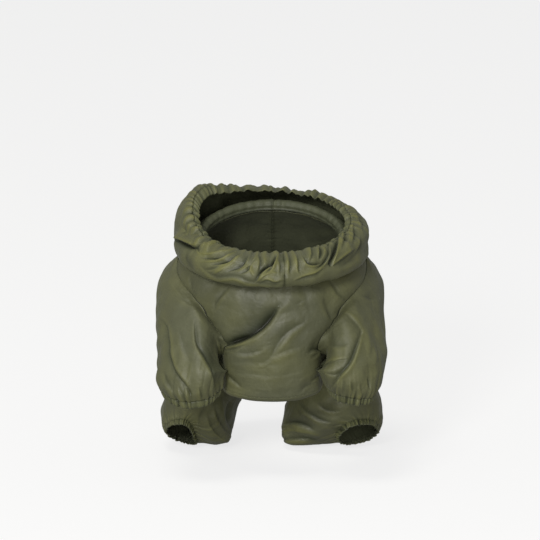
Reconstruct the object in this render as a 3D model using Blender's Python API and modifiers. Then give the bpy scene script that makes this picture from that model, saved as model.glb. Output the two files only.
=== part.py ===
# Dog full-body raincoat: a four-legged shell coat of thin nylon, in the shape that it takes when
# it is worn sitting, with the hood folded down into a gathered cowl round the neck. Every piece
# of cloth is a wall of its own, and each wall is a surface through the sections in the tables.
#
# All sizes are millimetres, and MM turns them into metres. X runs to the right as seen from the
# front, Y to the back, and Z up from the floor. HOLD is the point between the shoulders where
# the coat is carried, and it becomes the origin.

import math
from collections import namedtuple

import bmesh
import bpy
import numpy as np

MM = 0.001
HOLD = np.array((0.0, 60.0, 150.0))
WALL = 1.2  # thickness of the cloth walls
SEAM_DEGREES = 0.24  # half the clearance between two pieces that meet in a seam

# The body: one row for each section, from the neckline to the tail. A section is a closed ring
# on a sloping plane. It is given by its front and back points in the side view, by its
# half-widths at 30 to 150 degrees round from the front, and by the angles of its two seams.
Section = namedtuple(
    "Section",
    "name front_y front_z back_y back_z at30 at60 at90 at120 at150 front_seam back_seam",
)
BODY = (
    Section("neckline", 5, 169, 101, 202, 28, 48, 56, 48, 28, 95, 95),
    Section("shoulder", -1, 152, 115, 191, 38, 65, 74, 65, 39, 95, 95),
    Section("yoke", -2, 139, 125, 182, 40, 67, 77, 69, 42, 53, 116),
    Section("blade", -3, 125, 133, 171, 39, 61, 74, 70, 43, 43, 122),
    Section("armpit", -4, 108, 140, 159, 34, 45, 68, 70, 44, 38, 120),
    Section("underarm", -3, 90, 147, 147, 34, 42, 62, 67, 44, 52, 110),
    Section("side", -1, 77, 152, 139, 34, 42, 60, 65, 44, 76, 76),
    Section("hem", 4, 67, 157, 130, 35, 42, 58, 63, 44, 78, 78),
    Section("waist", 28, 58, 166, 117, 32, 50, 60, 60, 40, 82, 82),
    Section("loin", 54, 47, 176, 100, 32, 54, 62, 58, 37, 94, 94),
    Section("hip", 78, 36, 186, 81, 32, 55, 64, 58, 36, 106, 106),
    Section("rump", 98, 28, 194, 62, 31, 54, 62, 56, 34, 118, 118),
    Section("tail", 110, 24, 196, 42, 29, 50, 58, 51, 31, 130, 130),
)
ARMHOLE_TOP = 1  # rows of the table where the armhole starts and ends
ARMHOLE_END = 6
CHEST_HEM = 7
LEG_TOP = 8  # row where the hind leg joins the back
TAIL_HEM = 12
ARMHOLE_ROWS = 12  # rows of faces along the armhole
CHEST_COLUMNS = 18
BACK_COLUMNS = 8
PLACKET_HALF_WIDTH = 7.5
PLACKET_TOP = 0.15
PLACKET_END = 11.7
PLACKET_GAP = 0.4  # clearance under the strip, where the back's faces are flat

# The hood: one row for each ring of the cowl, from the neck seam out under the roll, round its
# edge and back over its top to the face edge.
HoodRing = namedtuple(
    "HoodRing", "name front_y front_z back_y back_z half_width gather lift slouch"
)
HOOD = (
    HoodRing("seam", 5.4, 169.8, 100.6, 202.8, 55.5, 0.0, 0, 0),
    HoodRing("stand", 6.3, 174.0, 99.7, 207.0, 54.2, 0.0, 0, 0),
    HoodRing("turn", 1.0, 177.0, 106.0, 209.0, 58.0, 0.0, 0, 0),
    HoodRing("under", -11, 171.5, 120.0, 200.0, 68.0, 0.2, 1, 2),
    HoodRing("low", -21, 166.5, 132.0, 188.0, 74.5, 0.3, 3, 8),
    HoodRing("edge_low", -27, 170.5, 141.0, 189.0, 78.0, 0.3, 6, 12),
    HoodRing("edge", -28.5, 178.5, 145.0, 198.0, 79.0, 0.4, 10, 13),
    HoodRing("shoulder", -24, 186.0, 141.0, 208.0, 76.5, 1.0, 14, 11),
    HoodRing("top", -14, 190.0, 130.0, 215.0, 70.5, 2.0, 16, 7),
    HoodRing("inner", -4.0, 191.0, 117.0, 218.0, 63.5, 2.2, 14, 3),
    HoodRing("face", 4.0, 187.5, 106.0, 216.5, 58.0, 1.3, 9, 0),
)
HOOD_COLUMNS = 84
HOOD_ROWS = 9
HOOD_WAVES = 21
HOOD_CASING = 9.1  # row where the elastic casing of the face edge starts
HOOD_CASING_GAP = 0.09  # half the clearance above a casing, in rows of a table
HOOD_FRONT_SEAM = 7.5  # the centre seam of the front is turned a little to the right
LIFT_ANGLE = -112  # the left of the hood stands higher than the right
LIFT_SPREAD = 38
SLOUCH_SPREAD = 52  # the back of the hood hangs out and down over the back
SLOUCH_DROP = 0.6

# The sleeves and the hind legs: one row for each ring, given by the points of its outer, front,
# inner and back lines, with X counted outwards from the middle of the coat.
LimbRing = namedtuple("LimbRing", "name outer front inner back gather")
SLEEVE_LEFT = (
    LimbRing("shoulder", (86, 50, 152), (50, 5, 128), (55, 48, 98), (80, 92, 140), 0),
    LimbRing("upper", (91, 34, 126), (56, -9, 115), (49, 31, 96), (78, 68, 119), 0),
    LimbRing("elbow", (92, 18, 101), (60, -19, 99), (42, 9, 94), (70, 46, 102), 0.4),
    LimbRing("puff", (91.5, 10, 84), (64, -20, 80), (39, 7, 86), (65, 36, 88), 1.2),
    LimbRing("cuff_top", (88.5, 9, 76.5), (63, -15.5, 71.5), (41, 8, 79), (65, 33, 81), 1.3),
    LimbRing("cuff_end", (86.5, 9, 71), (62.5, -14, 65.5), (42.5, 8, 73), (64.5, 31, 75.5), 0.7),
)
SLEEVE_RIGHT = (
    LimbRing("shoulder", (84, 50, 149), (50, 5, 128), (55, 48, 98), (80, 92, 140), 0),
    LimbRing("upper", (87, 34, 127), (56, -8, 116), (49, 31, 96), (78, 68, 119), 0),
    LimbRing("elbow", (91.5, 18, 104), (60, -18, 101), (42, 9, 95), (70, 46, 104), 0.4),
    LimbRing("puff", (88, 10, 83), (62, -18, 84), (40, 8, 88), (65, 36, 90), 1.2),
    LimbRing("cuff_top", (83.5, 9, 74), (61.5, -13, 74), (44, 9, 80), (64, 31, 82), 1.3),
    LimbRing("cuff_end", (82, 9, 68.5), (61, -11, 68), (46, 9, 74), (63, 29, 76), 0.7),
)
HIND_LEG = (
    LimbRing("thigh", (75, 139, 56), (62, 80, 68), (11, 124, 34), (46, 188, 29), 0),
    LimbRing("knee", (88, 134, 37), (61, 77, 52), (12, 116, 19), (50, 182, 13), 0.2),
    LimbRing("shank", (89, 120, 24), (67, 82, 41), (28, 102, 10), (57, 146, 5), 0.8),
    LimbRing("cuff_top", (87, 106, 19), (71, 85, 33), (51, 95, 17.5), (65, 115, 5.5), 1.1),
    LimbRing("cuff_end", (86, 100, 18), (72, 80.5, 29.5), (54, 89, 17), (66, 107.5, 6), 0.7),
)
HIND_INNER_EDGE = (15, 128, 41)  # middle of the edge that the open belly leaves on the leg
HIND_NARROWING = {"left": 0.72, "right": 1.0}  # the left hind leg is drawn in further
SLEEVE_ROWS = 7
HIND_ROWS = 7
HIND_COLUMNS = 36
SLEEVE_WAVES = 12
HIND_WAVES = 9
SLEEVE_CASING_GAP = 0.05
HIND_CASING_GAP = 0.12
ROOT_CLEARANCE = 1.5  # from the body's seam to the first ring of a limb
ROOT_PULL = 0.5  # how far a limb keeps its first direction

# The largest folds: soft troughs, and ridges where the depth is negative, each along a straight
# line from one place to another, counted in table rows and in degrees round the piece.
Fold = namedtuple("Fold", "name row_a degrees_a row_b degrees_b width depth")
BODY_FOLDS = (
    Fold("chest drag", 4.1, -36, 1.9, 3, 7.5, 5.0),
    Fold("chest drag lip", 4.6, -28, 2.5, 8, 8, -2.0),
    Fold("right armpit", 4.2, 37, 3.8, 24, 6, 2.8),
    Fold("left collar drop", 0.4, -42, 2.0, -40, 8, 1.2),
    Fold("right collar drop", 0.4, 44, 2.2, 36, 8, 1.2),
    Fold("left back drag", 4.0, -122, 6.5, -165, 10, 2.4),
    Fold("right back drag", 3.4, 124, 6.0, 166, 10, 2.4),
    Fold("left flank", 7.2, -92, 9.2, -150, 9, 2.4),
    Fold("right flank", 7.0, 95, 9.6, 148, 9, 2.4),
)
LEFT_SLEEVE_FOLDS = (
    Fold("outer length", 1.0, 46, 3.9, 88, 5, 2.8),
    Fold("inner length", 0.9, 118, 3.8, 146, 5, 3.0),
    Fold("elbow", 2.0, 20, 3.6, -8, 5, 2.0),
    Fold("back length", 1.4, 262, 4.0, 250, 6, 2.0),
)
RIGHT_SLEEVE_FOLDS = (
    Fold("front length", 1.0, 90, 3.7, 106, 5, 2.8),
    Fold("inner length", 1.2, 140, 3.6, 152, 5, 2.0),
    Fold("elbow", 1.8, 30, 3.4, 4, 5, 2.2),
    Fold("back length", 1.4, 258, 4.0, 246, 6, 2.0),
)
HIND_FOLDS = (
    Fold("knee", 0.6, 60, 2.6, 120, 6, 2.0),
    Fold("thigh", 0.8, 20, 2.8, -20, 7, 1.8),
    Fold("seat", 1.0, 285, 2.4, 240, 7, 1.8),
)
HOOD_FOLDS = (
    Fold("left overlap", 5.6, -93, 9.0, -56, 4, 3.6),
    Fold("right slouch", 6.0, 108, 9.0, 128, 7, 2.0),
    Fold("back slouch left", 4.6, -152, 8.4, -136, 7, 4.5),
    Fold("back slouch right", 4.4, 146, 8.6, 162, 7, 4.5),
    Fold("back slouch middle", 5.0, 178, 8.0, -170, 6, 3.0),
)
ROW_LENGTH = {"body": 15.0, "limb": 20.0, "hood": 9.0}
DEGREE_LENGTH = {"body": 1.1, "limb": 0.5, "hood": 1.25}

OLIVE = (0.090, 0.100, 0.050, 1.0)
OLIVE_TRIM = (0.075, 0.085, 0.042, 1.0)


def smooth(knots, t):
    # A Catmull-Rom curve through the knots, at place t counted in knots.
    start = min(max(int(math.floor(t)), 0), len(knots) - 2)
    f = t - start
    p1, p2 = knots[start], knots[start + 1]
    p0 = knots[start - 1] if start > 0 else 2 * p1 - p2
    p3 = knots[start + 2] if start + 2 < len(knots) else 2 * p2 - p1
    bend = (2 * p0 - 5 * p1 + 4 * p2 - p3) * f * f + (3 * p1 - p0 - 3 * p2 + p3) * f**3
    return p1 + 0.5 * ((p2 - p0) * f + bend)


def unit(vector):
    return vector / np.linalg.norm(vector)


def between(start, end, count):
    return [start + (end - start) * i / count for i in range(count + 1)]


def numbers_of(table):
    return [np.array(row[1:], float) for row in table]


BODY_ROWS = numbers_of(BODY)
HOOD_RINGS = numbers_of(HOOD)


def section_at(row):
    return Section("", *smooth(BODY_ROWS, row))


def seam_at(row, seam):
    # The angle of a seam on the body. Above and below the armhole the two seams are one.
    if ARMHOLE_TOP < row < ARMHOLE_END:
        return getattr(section_at(row), seam)
    return np.interp(row, range(len(BODY)), [getattr(section, seam) for section in BODY])


def fold_relief(folds, kind, row, degrees):
    # How far the folds move a point along its normal: troughs go in, so they are negative.
    relief = 0.0
    scale = np.array((ROW_LENGTH[kind], DEGREE_LENGTH[kind]))
    for fold in folds:
        start = np.array((fold.row_a, fold.degrees_a)) * scale
        along = np.array((fold.row_b, fold.degrees_b)) * scale - start
        offset = np.array((row, degrees)) * scale - start
        place = min(max(offset @ along / (along @ along), 0.0), 1.0)
        distance = np.linalg.norm(offset - place * along)
        fade = math.sin(math.pi * (0.15 + 0.7 * place))
        relief -= fold.depth * fade * math.exp(-((distance / fold.width) ** 2))
    return relief


def body_form(row, degrees):
    # A point of the body before its folds. Degrees run from the front, to +X first.
    section = section_at(row)
    degrees = (degrees + 180) % 360 - 180
    widths = (section.at30, section.at60, section.at90, section.at120, section.at150)
    knots = (-widths[0], 0.0, *widths, 0.0, -widths[-1])
    x = math.copysign(smooth(knots, abs(degrees) / 30 + 1), degrees)
    depth = (1 - math.cos(math.radians(degrees))) / 2
    y = section.front_y + (section.back_y - section.front_y) * depth
    z = section.front_z + (section.back_z - section.front_z) * depth
    return np.array((x, y, z))


def normal_of(form, row, degrees):
    # The outward normal of a form, from small steps along it and round it.
    down = form(row + 0.02, degrees) - form(row - 0.02, degrees)
    around = form(row, degrees + 0.5) - form(row, degrees - 0.5)
    return unit(np.cross(around, -down))


def body_point(row, degrees, raised=0.0):
    relief = fold_relief(BODY_FOLDS, "body", row, degrees) + raised
    return body_form(row, degrees) + normal_of(body_form, row, degrees) * relief


def waves(degrees, count):
    # Uneven gathers: a wave whose spacing and height wander round the ring.
    a = math.radians(degrees)
    wander = 0.10 * math.sin(2 * a + 0.7) + 0.06 * math.sin(5 * a + 2.1)
    height = 0.75 + 0.25 * math.sin(3 * a + 1.2)
    return height * math.cos(count * (a + wander))


def hood_form(row, degrees):
    ring = HoodRing("", *smooth(HOOD_RINGS, row))
    degrees = (degrees + 180) % 360 - 180
    a = math.radians(degrees)
    depth = (1 - math.cos(a)) / 2
    lift = ring.lift * math.exp(-(((degrees - LIFT_ANGLE) / LIFT_SPREAD) ** 2))
    slouch = ring.slouch * math.exp(-(((180 - abs(degrees)) / SLOUCH_SPREAD) ** 2))
    y = ring.front_y + (ring.back_y - ring.front_y) * depth + slouch
    z = ring.front_z + (ring.back_z - ring.front_z) * depth + lift - SLOUCH_DROP * slouch
    return np.array((ring.half_width * math.sin(a), y, z))


def hood_point(row, degrees):
    degrees = (degrees + 180) % 360 - 180
    gather = HoodRing("", *smooth(HOOD_RINGS, row)).gather
    relief = fold_relief(HOOD_FOLDS, "hood", row, degrees) + gather * waves(degrees, HOOD_WAVES)
    return hood_form(row, degrees) - normal_of(hood_form, row, degrees) * relief


def ring_point(ring, degrees, narrowing):
    # A closed ring through the four guide points of a limb. Degrees run from the outer point
    # to the front one.
    outer, front, inner, back = (
        np.array(point, float) for point in (ring.outer, ring.front, ring.inner, ring.back)
    )
    inner[0] = outer[0] - (outer[0] - inner[0]) * narrowing
    a = math.radians(degrees)
    centre = (outer + front + inner + back) / 4
    skew = (outer + inner - front - back) / 4
    sideways = (outer - inner) / 2
    forwards = (front - back) / 2
    return centre + sideways * math.cos(a) + forwards * math.sin(a) + skew * math.cos(2 * a)


def mirrored(point, side):
    return point * np.array((side, 1, 1))


def armhole_rows():
    return between(ARMHOLE_TOP, ARMHOLE_END, ARMHOLE_ROWS)


def armhole_loop(side):
    # The armhole's edge from its top down the front seam and up the back seam, with X outwards,
    # and the direction in which the sleeve leaves each of its points.
    places = [(row, seam_at(row, "front_seam")) for row in armhole_rows()]
    places += [(row, seam_at(row, "back_seam")) for row in reversed(armhole_rows()[1:-1])]
    points = [mirrored(body_point(row, side * seam), side) for row, seam in places]
    centre = sum(points) / len(points)
    leads = []
    for (row, seam), point in zip(places, points):
        normal = normal_of(body_form, row, seam)
        inwards = centre - point
        inwards = unit(inwards - normal * (inwards @ normal))
        top_share = 0.5 + 0.5 * math.cos(2 * math.pi * len(leads) / len(places))
        leads.append(unit(normal + inwards * (0.25 + 0.65 * top_share)))
    return with_midpoints(points), with_midpoints(leads)


def with_midpoints(points):
    # A closed loop with a point added halfway along each straight step.
    result = []
    for point, following in zip(points, points[1:] + points[:1]):
        result += [point, (point + following) / 2]
    return result


def hind_loop(side, narrowing):
    # The upper edge of a hind leg: along the back's seam from the tail to the flank, and then
    # round the open belly. Degrees run from the outer point to the front one.
    seam_rows = between(TAIL_HEM, LEG_TOP, HIND_COLUMNS // 2)
    seam = []
    leads = []
    for row in seam_rows:
        degrees = seam_at(row, "back_seam")
        point = mirrored(body_point(row, side * degrees), side)
        ahead = body_form(row, degrees - 4) - body_form(row, degrees)
        seam.append(point)
        leads.append(unit(unit(ahead) + 0.5 * normal_of(body_form, row, degrees)))
    front, back = seam[-1], seam[0]
    middle = (front + back) / 2
    inner = np.array(HIND_INNER_EDGE, float)
    inner[0] = middle[0] - (middle[0] - inner[0]) * narrowing
    edge = []
    for i in range(1, HIND_COLUMNS // 2):
        a = math.pi * (0.5 + 2 * i / HIND_COLUMNS)
        edge.append(middle + (front - back) / 2 * math.sin(a) - (inner - middle) * math.cos(a))
    # The loop starts at the outer point, halfway along the seam.
    half = HIND_COLUMNS // 4
    points = seam[half:] + edge + seam[:half]
    turns = [360 * i / HIND_COLUMNS for i in range(HIND_COLUMNS)]
    first_ring = [ring_point(HIND_LEG[0], turn, narrowing) for turn in turns]
    straight = [unit(after - point) for point, after in zip(points, first_ring)]
    ways = leads[half:] + [None] * len(edge) + leads[:half]
    return points, [way if way is not None else plain for way, plain in zip(ways, straight)]


def limb_point(limb, row, column):
    # A point of a sleeve or leg: a smooth line from the root loop through the rings.
    degrees = 360 * column / len(limb.root)
    lead = limb.leads[column]
    root = limb.root[column] + lead * ROOT_CLEARANCE
    rings = [ring_point(ring, degrees, limb.narrowing) for ring in limb.rings]
    pull = ROOT_PULL * np.linalg.norm(rings[0] - root)
    point = smooth([rings[0] - 2 * pull * lead, root, *rings], row + 1)
    centre = smooth(limb.centres, row)
    gather = smooth([0.0, *(ring.gather for ring in limb.rings)], row)
    relief = gather * waves(degrees, limb.waves)
    relief += fold_relief(limb.folds, "limb", row, degrees) * min(row, 1.0)
    return mirrored(point + unit(point - centre) * relief, limb.side)


Limb = namedtuple("Limb", "side narrowing root leads rings centres folds waves casing_gap")


def centres_of(root, rings, narrowing):
    quarters = range(0, 360, 90)
    centres = [sum(ring_point(ring, turn, narrowing) for turn in quarters) / 4 for ring in rings]
    return [sum(root) / len(root), *centres]


def sleeve(side_name):
    side = SIDE_SIGN[side_name]
    root, leads = armhole_loop(side)
    left = side_name == "left"
    rings = SLEEVE_LEFT if left else SLEEVE_RIGHT
    folds = LEFT_SLEEVE_FOLDS if left else RIGHT_SLEEVE_FOLDS
    shape = (side, 1.0, root, leads, rings, centres_of(root, rings, 1.0))
    return Limb(*shape, folds, SLEEVE_WAVES, SLEEVE_CASING_GAP)


def hind_leg(side_name):
    side = SIDE_SIGN[side_name]
    narrowing = HIND_NARROWING[side_name]
    root, leads = hind_loop(side, narrowing)
    shape = (side, narrowing, root, leads, HIND_LEG, centres_of(root, HIND_LEG, narrowing))
    return Limb(*shape, HIND_FOLDS, HIND_WAVES, HIND_CASING_GAP)


SIDE_SIGN = {"left": -1, "right": 1}


def clear_scene():
    for obj in list(bpy.data.objects):
        bpy.data.objects.remove(obj, do_unlink=True)


def fabric(name, colour, roughness):
    material = bpy.data.materials.new(name)
    material.use_nodes = True
    shader = material.node_tree.nodes["Principled BSDF"]
    shader.inputs["Base Color"].default_value = colour
    shader.inputs["Roughness"].default_value = roughness
    shader.inputs["Metallic"].default_value = 0.0
    shader.inputs["Sheen Weight"].default_value = 0.3
    material.diffuse_color = colour
    return material


def cloth_wall(name, grid, closed, material, collection):
    # An open surface through a grid of points, thickened into a wall. A closed grid joins its
    # last column to its first.
    mesh = bpy.data.meshes.new(name)
    bm = bmesh.new()
    rows = [[bm.verts.new((point - HOLD) * MM) for point in row] for row in grid]
    columns = len(rows[0])
    for upper, lower in zip(rows, rows[1:]):
        for i in range(columns if closed else columns - 1):
            after = (i + 1) % columns
            bm.faces.new((upper[i], upper[after], lower[after], lower[i]))
    bm.to_mesh(mesh)
    bm.free()
    mesh.shade_smooth()
    mesh.materials.append(material)
    obj = bpy.data.objects.new(name, mesh)
    collection.objects.link(obj)
    wall = obj.modifiers.new("wall", "SOLIDIFY")
    wall.thickness = WALL * MM
    wall.offset = 0.0
    return obj


def chest_grid():
    rows = between(0, ARMHOLE_TOP, 2)[:-1] + armhole_rows() + between(ARMHOLE_END, CHEST_HEM, 2)[1:]
    grid = []
    for row in rows:
        edge = seam_at(row, "front_seam") - SEAM_DEGREES
        grid.append([body_point(row, degrees) for degrees in between(-edge, edge, CHEST_COLUMNS)])
    return grid


def back_rows():
    rows = between(0, ARMHOLE_TOP, 2)[:-1] + armhole_rows() + between(ARMHOLE_END, LEG_TOP, 3)[1:]
    return rows + between(LEG_TOP, TAIL_HEM, HIND_COLUMNS // 4)[1:]


def back_grid(side):
    grid = []
    for row in back_rows():
        edge = seam_at(row, "back_seam") + SEAM_DEGREES
        angles = between(edge, 180 - SEAM_DEGREES, BACK_COLUMNS)
        grid.append([body_point(row, side * degrees) for degrees in angles])
    return grid


def placket_grid():
    # The strip lies on the back panels: its points are theirs, moved out by a wall and a gap.
    raised = WALL + PLACKET_GAP
    grid = []
    inside = [row for row in back_rows() if PLACKET_TOP < row < PLACKET_END]
    for row in (PLACKET_TOP, *inside, PLACKET_END):
        half = math.degrees(PLACKET_HALF_WIDTH / (2 * section_at(row).at150))
        grid.append([body_point(row, 180 + turn, raised) for turn in between(-half, half, 2)])
    return grid


def hood_angles(side):
    return between(HOOD_FRONT_SEAM, side * 180, HOOD_COLUMNS // 2)


def hood_grid(side):
    angles = hood_angles(side)
    angles[0] += side * SEAM_DEGREES
    angles[-1] -= side * SEAM_DEGREES
    rows = between(0, HOOD_CASING - HOOD_CASING_GAP, HOOD_ROWS)
    return [[hood_point(row, degrees) for degrees in angles] for row in rows]


def hood_edge_grid():
    angles = hood_angles(1) + hood_angles(-1)[-2:0:-1]
    rows = between(HOOD_CASING + HOOD_CASING_GAP, len(HOOD) - 1, 1)
    return [[hood_point(row, degrees) for degrees in angles] for row in rows]


def limb_grid(limb, start, end, rows):
    columns = range(len(limb.root))
    return [[limb_point(limb, row, column) for column in columns] for row in between(start, end, rows)]


def build_limb(limb, cover_name, cuff_name, rows, cloth, trim, collection):
    # The cover ends at the ring above the last, and the elastic casing runs on from there.
    casing = len(limb.rings) - 1
    cover = limb_grid(limb, 0, casing - limb.casing_gap, rows)
    cuff = limb_grid(limb, casing + limb.casing_gap, casing + 1, 1)
    cloth_wall(cover_name, cover, True, cloth, collection)
    cloth_wall(cuff_name, cuff, True, trim, collection)


def build():
    clear_scene()
    collection = bpy.data.collections.new("Dog full-body raincoat")
    bpy.context.scene.collection.children.link(collection)
    cloth = fabric("nylon shell", OLIVE, 0.45)
    trim = fabric("elastic casing", OLIVE_TRIM, 0.5)
    cloth_wall("chest_panel", chest_grid(), False, cloth, collection)
    cloth_wall("back_placket", placket_grid(), False, trim, collection)
    cloth_wall("hood_edge", hood_edge_grid(), True, trim, collection)
    for name, side in SIDE_SIGN.items():
        cloth_wall(f"back_{name}", back_grid(side), False, cloth, collection)
        cloth_wall(f"hood_{name}", hood_grid(side), False, cloth, collection)
        build_limb(
            sleeve(name), f"sleeve_{name}", f"sleeve_cuff_{name}", SLEEVE_ROWS, cloth, trim, collection
        )
        build_limb(
            hind_leg(name), f"hind_leg_{name}", f"hind_cuff_{name}", HIND_ROWS, cloth, trim, collection
        )


build()
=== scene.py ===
import math

import bmesh
import bpy
import numpy as np
from mathutils import Matrix, Vector
from mathutils.bvhtree import BVHTree


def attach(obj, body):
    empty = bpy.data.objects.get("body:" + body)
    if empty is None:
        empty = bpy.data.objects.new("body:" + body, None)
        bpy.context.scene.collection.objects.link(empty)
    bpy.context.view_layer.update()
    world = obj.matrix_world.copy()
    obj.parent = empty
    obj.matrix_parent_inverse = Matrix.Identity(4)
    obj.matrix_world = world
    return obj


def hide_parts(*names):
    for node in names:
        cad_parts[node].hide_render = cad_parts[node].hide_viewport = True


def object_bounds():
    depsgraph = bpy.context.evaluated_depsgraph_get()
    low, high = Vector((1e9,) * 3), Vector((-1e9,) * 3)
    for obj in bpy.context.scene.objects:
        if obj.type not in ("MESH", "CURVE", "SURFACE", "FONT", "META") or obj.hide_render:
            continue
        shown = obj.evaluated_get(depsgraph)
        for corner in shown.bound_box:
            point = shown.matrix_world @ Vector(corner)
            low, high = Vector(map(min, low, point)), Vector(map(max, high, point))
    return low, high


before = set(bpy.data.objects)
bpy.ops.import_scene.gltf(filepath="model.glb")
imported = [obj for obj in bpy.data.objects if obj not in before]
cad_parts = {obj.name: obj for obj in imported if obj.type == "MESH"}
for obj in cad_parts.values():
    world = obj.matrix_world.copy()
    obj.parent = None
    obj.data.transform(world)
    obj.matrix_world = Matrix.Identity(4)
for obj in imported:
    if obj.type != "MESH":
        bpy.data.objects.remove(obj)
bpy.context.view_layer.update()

# Lengths in the tables are millimetres from the floor, and hold is the place between the
# shoulders that is the origin. X is to the right as seen from the front, Y to the back, Z up.
mm = 0.001
hold = np.array((0.0, 60.0, 150.0))
seenPixel = 0.8  # one step of the front view's grid, on which the creases of the front are laid
seenMiddle = (272.0, 484.0)
tilt = math.radians(13)  # the front view looks down by this much


def smooth(knots, place, each=False):
    # a Catmull-Rom curve through the knots. each says that every point has knots of its own
    knots, place = np.asarray(knots, float), np.asarray(place, float)
    ends = np.concatenate((2 * knots[:1] - knots[1:2], knots, 2 * knots[-1:] - knots[-2:-1]))
    start = np.clip(np.floor(place).astype(int), 0, len(knots) - 2)
    own = (np.arange(len(place)),) if each else ()
    p0, p1, p2, p3 = (ends[(start + i, *own)] for i in range(4))
    f = (place - start).reshape(place.shape + (1,) * (p0.ndim - place.ndim))
    bend = (2 * p0 - 5 * p1 + 4 * p2 - p3) * f * f + (3 * p1 - p0 - 3 * p2 + p3) * f**3
    return p1 + 0.5 * ((p2 - p0) * f + bend)


def unit(vectors):
    return vectors / np.linalg.norm(vectors, axis=-1, keepdims=True)


def bell(distance, width, power=2):
    return np.exp(-((distance / width) ** power))


def turned(degrees):  # into -180 to 180
    return (degrees + 180) % 360 - 180


def seenFromFront(points):
    height = points[:, 2] * math.cos(tilt) + points[:, 1] * math.sin(tilt)
    return seenMiddle[0] + points[:, 0] / seenPixel, seenMiddle[1] - height / seenPixel


def foldRelief(folds, scale, row, degrees):
    # soft troughs from one place to another: row, degrees, row, degrees, width, depth
    relief = np.zeros(len(row))
    for rowA, degreesA, rowB, degreesB, width, depth in folds:
        middle = (degreesA + degreesB) / 2
        spots = np.stack((row, middle + turned(degrees - middle)), 1) * scale
        start = np.array((rowA, degreesA)) * scale
        along = np.array((rowB, degreesB)) * scale - start
        offset = spots - start
        place = np.clip(offset @ along / (along @ along), 0, 1)
        distance = np.linalg.norm(offset - place[:, None] * along, axis=1)
        relief -= depth * np.sin(np.pi * (0.15 + 0.7 * place)) * bell(distance, width)
    return relief


def creaseRelief(creases, points, normals):
    # creases drawn on the front view: a line of places, then width, depth and the height of the
    # lip on its right-hand side (left-hand if below 0), where the wall is steeper
    u, v = seenFromFront(points)
    towards = -normals[:, 1] * math.cos(tilt) + normals[:, 2] * math.sin(tilt)
    relief = np.zeros(len(u))
    for line, width, depth, lip, *steepness in creases:
        line = np.array(line, float)
        near = (np.abs(u - line[:, 0].mean()) < np.ptp(line[:, 0]) / 2 + 4 * width) & (towards > -0.2)
        near &= np.abs(v - line[:, 1].mean()) < np.ptp(line[:, 1]) / 2 + 4 * width
        if not near.any():
            continue
        line = smooth(line, np.linspace(0, len(line) - 1, 4 * len(line)))
        best = np.full(near.sum(), np.inf)
        side, place = np.zeros_like(best), np.zeros_like(best)
        for i, (a, b) in enumerate(zip(line, line[1:])):
            along = b - a
            du, dv = u[near] - a[0], v[near] - a[1]
            t = np.clip((du * along[0] + dv * along[1]) / (along @ along), 0, 1)
            du, dv = du - t * along[0], dv - t * along[1]
            distance = np.hypot(du, dv)
            closer = distance < best
            best = np.where(closer, distance, best)
            side = np.where(closer, np.sign(along[0] * dv - along[1] * du), side)
            place = np.where(closer, (i + t) / (len(line) - 1), place)
        fade = np.sin(np.pi * (0.04 + 0.92 * place)) ** 0.7
        steep = steepness[0] if steepness else 0.35
        across = best * side / (width * (0.5 + 0.5 * fade))
        sharpness = np.where(side * lip > 0, 2.0, 1.2)  # the steep wall stands straight to its lip
        valley = np.exp(-((np.abs(across) / (1 - steep * np.sign(lip) * side)) ** sharpness))
        ridge = np.exp(-(np.abs(across * np.sign(lip) - 1.9 + steep) ** 1.2))
        shape = depth * valley - abs(lip) * ridge
        relief[near] -= shape * fade * np.clip(towards[near] * 2.5 + 0.5, 0, 1)
    return relief


def softNoise(points, size, seed, amount=14):  # gentle unevenness, the same each run
    draw = np.random.default_rng(seed)
    total = np.zeros(len(points))
    for turn in unit(draw.normal(size=(amount, 3))):
        pace = draw.uniform(0.7, 1.6) * 2 * np.pi / size
        total += np.sin(points @ turn * pace + draw.uniform(0, 2 * np.pi))
    return total / math.sqrt(amount)


def gathers(degrees, fromEdge, length, count, seed, lean=0.0, crisp=0.0):
    # cloth drawn up on elastic: swells between sharp valleys, uneven in width, height and
    # length. crisp ones have sharp ridges as well, as thin cloth has where it is folded over
    draw = np.random.default_rng(seed)
    a = np.radians(degrees)
    phase = count * a + lean * fromEdge
    height, reach = np.full(len(a), 1.0), np.full(len(a), 1.0)
    for k in (2, 3, 5, 8, 13):
        phase = phase + draw.uniform(0.4, 0.9) * np.sin(k * a + draw.uniform(0, 6.3) + 0.25 * fromEdge)
        height = height + 0.25 * np.sin(k * a + draw.uniform(0, 6.3))
        reach = reach + 0.22 * np.sin(2 * k * a + draw.uniform(0, 6.3))
    swells = np.abs(np.sin(phase / 2)) ** 0.8 - 0.62
    pleats = 0.55 * np.arcsin(0.97 * np.sin(phase + 0.7 * np.sin(phase + 2.0))) / math.asin(0.97)
    fade = bell(np.maximum(fromEdge, 0), length * np.clip(reach, 0.4, 1.8))
    return np.clip(height, 0.25, 1.8) * fade * ((1 - crisp) * swells + crisp * pleats)


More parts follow.
